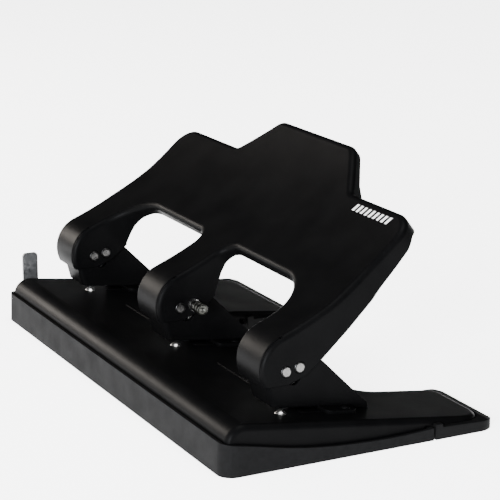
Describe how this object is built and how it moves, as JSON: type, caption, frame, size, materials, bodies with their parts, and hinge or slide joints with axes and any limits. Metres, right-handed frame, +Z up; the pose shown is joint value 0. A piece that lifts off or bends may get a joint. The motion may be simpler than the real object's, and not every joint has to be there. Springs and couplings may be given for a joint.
{
  "type": "three hole punch",
  "caption": "desk paper punch with a full-width black steel lever over punching heads on a sloped base with a chip tray, sliding paper guide and push lock",
  "frame": {"origin": "middle of the footprint on the surface the punch stands on", "axes": "+X along the length, -Y the side the paper goes in from, +Y the side the lever rises to, +Z up"},
  "size_m": [0.2676, 0.138, 0.1125],
  "materials": {
    "black_paint": "satin black paint on pressed steel",
    "tray_plastic": "dark grey moulded plastic, fine texture",
    "rubber": "soft black moulded rubber",
    "bright_steel": "turned bright steel",
    "tool_steel": "ground tool steel",
    "spring_steel": "bright drawn spring wire",
    "zinc_plate": "dull zinc-plated strip"
  },
  "bodies": {
    "base": {"base_plate": "black_paint", "bracket_left": "black_paint", "bracket_middle": "black_paint", "bracket_right": "black_paint", "punch_guide_left": "tool_steel", "punch_guide_middle": "tool_steel", "punch_guide_right": "tool_steel", "die_plate_left": "tool_steel", "die_plate_middle": "tool_steel", "die_plate_right": "tool_steel", "die_rivets": "bright_steel", "foot_rivets": "black_paint", "fulcrum_pin_left": "bright_steel", "fulcrum_pin_middle": "bright_steel", "fulcrum_pin_right": "bright_steel", "return_spring_left": "spring_steel", "return_spring_middle": "spring_steel", "return_spring_right": "spring_steel", "guide_track": "zinc_plate", "rear_foot_left": "rubber", "rear_foot_right": "rubber"},
    "lever": {"handle": "black_paint", "drive_pin_left": "bright_steel", "drive_pin_right": "bright_steel", "lock_collar": "bright_steel"},
    "lock": {"lock_pin": "bright_steel"},
    "punch_left_body": {"punch_left": "tool_steel"},
    "punch_middle_body": {"punch_middle": "tool_steel"},
    "punch_right_body": {"punch_right": "tool_steel"},
    "guide": {"paper_guide": "zinc_plate"},
    "tray": {"chip_tray": "tray_plastic"}
  },
  "joints": [
    {"name": "handle_pivot", "type": "hinge", "parent": "base", "child": "lever", "pos_m": [0, -0.0295, 0.0362], "axis": [-1, 0, 0], "range_deg": [0, 34], "stiffness_Nm_per_rad": 0.8, "springref_deg": -40.11},
    {"name": "punch_slide_left", "type": "slide", "parent": "base", "child": "punch_left_body", "axis": [0, 0, -1], "range_m": [0, 0.00395], "deforming": ["return_spring_left"]},
    {"name": "punch_slide_middle", "type": "slide", "parent": "base", "child": "punch_middle_body", "axis": [0, 0, -1], "range_m": [0, 0.00395], "deforming": ["return_spring_middle"]},
    {"name": "punch_slide_right", "type": "slide", "parent": "base", "child": "punch_right_body", "axis": [0, 0, -1], "range_m": [0, 0.00395], "deforming": ["return_spring_right"]},
    {"name": "lock_push", "type": "slide", "parent": "lever", "child": "lock", "axis": [-1, 0, 0], "range_m": [0, 0.004]},
    {"name": "guide_slide", "type": "slide", "parent": "base", "child": "guide", "axis": [-1, 0, 0], "range_m": [0, 0.025]},
    {"name": "tray_pull", "type": "slide", "parent": "base", "child": "tray", "axis": [0, 0, -1], "range_m": [0, 0.03]}
  ],
  "couplings": [
    {"joint": "punch_slide_left", "follows": "handle_pivot", "m_per_rad": 0.0066402},
    {"joint": "punch_slide_middle", "follows": "handle_pivot", "m_per_rad": 0.0066402},
    {"joint": "punch_slide_right", "follows": "handle_pivot", "m_per_rad": 0.0066402}
  ]
}
